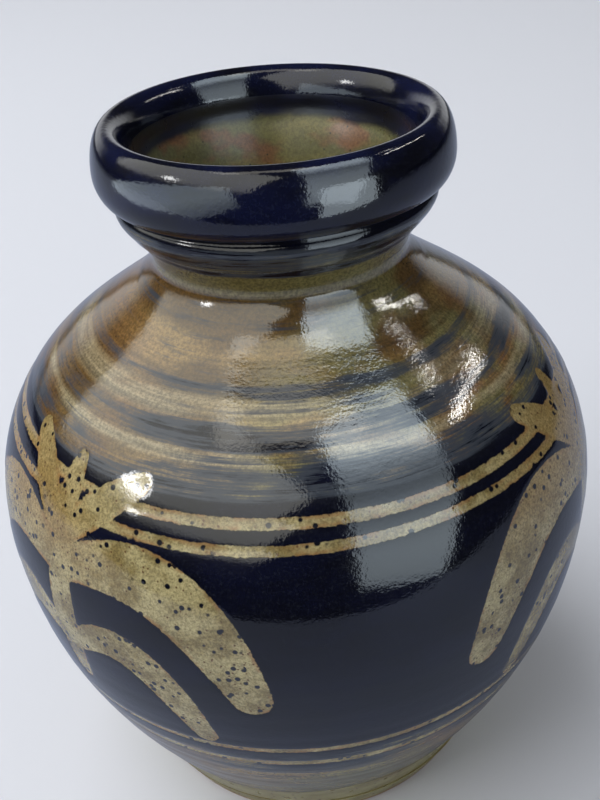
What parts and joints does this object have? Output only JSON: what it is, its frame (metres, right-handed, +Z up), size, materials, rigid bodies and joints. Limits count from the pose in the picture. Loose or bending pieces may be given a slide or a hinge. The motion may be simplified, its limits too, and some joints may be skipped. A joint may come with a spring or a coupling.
{
  "type": "stoneware pottery vase",
  "caption": "Round-bellied stoneware vase with a narrow neck, a thick rolled rim and a turned foot ring, for flowers or display.",
  "frame": {"origin": "centre of the foot ring's resting plane", "axes": "+Z up along the turning axis, from the foot to the mouth; the vase is turned, so X and Y are alike in shape"},
  "size_m": [0.15, 0.15, 0.1793],
  "materials": {
    "bare_clay": "unglazed fired stoneware, matt, rusty brown",
    "floor_glaze": "olive liner glaze, glossy",
    "belly_glaze": "cobalt glaze with a wax-resist pattern in oatmeal, glossy",
    "shoulder_glaze": "ochre ash glaze with soft cobalt bands, glossy",
    "neck_glaze": "olive and blue-grey glaze, glossy",
    "rim_glaze": "thick ink-blue cobalt glaze, high gloss"
  },
  "bodies": {
    "root": {"foot_ring": "bare_clay", "floor_disc": "floor_glaze", "belly_wall": "belly_glaze", "shoulder_wall": "shoulder_glaze", "neck_collar": "neck_glaze", "rim_roll": "rim_glaze"}
  },
  "joints": []
}
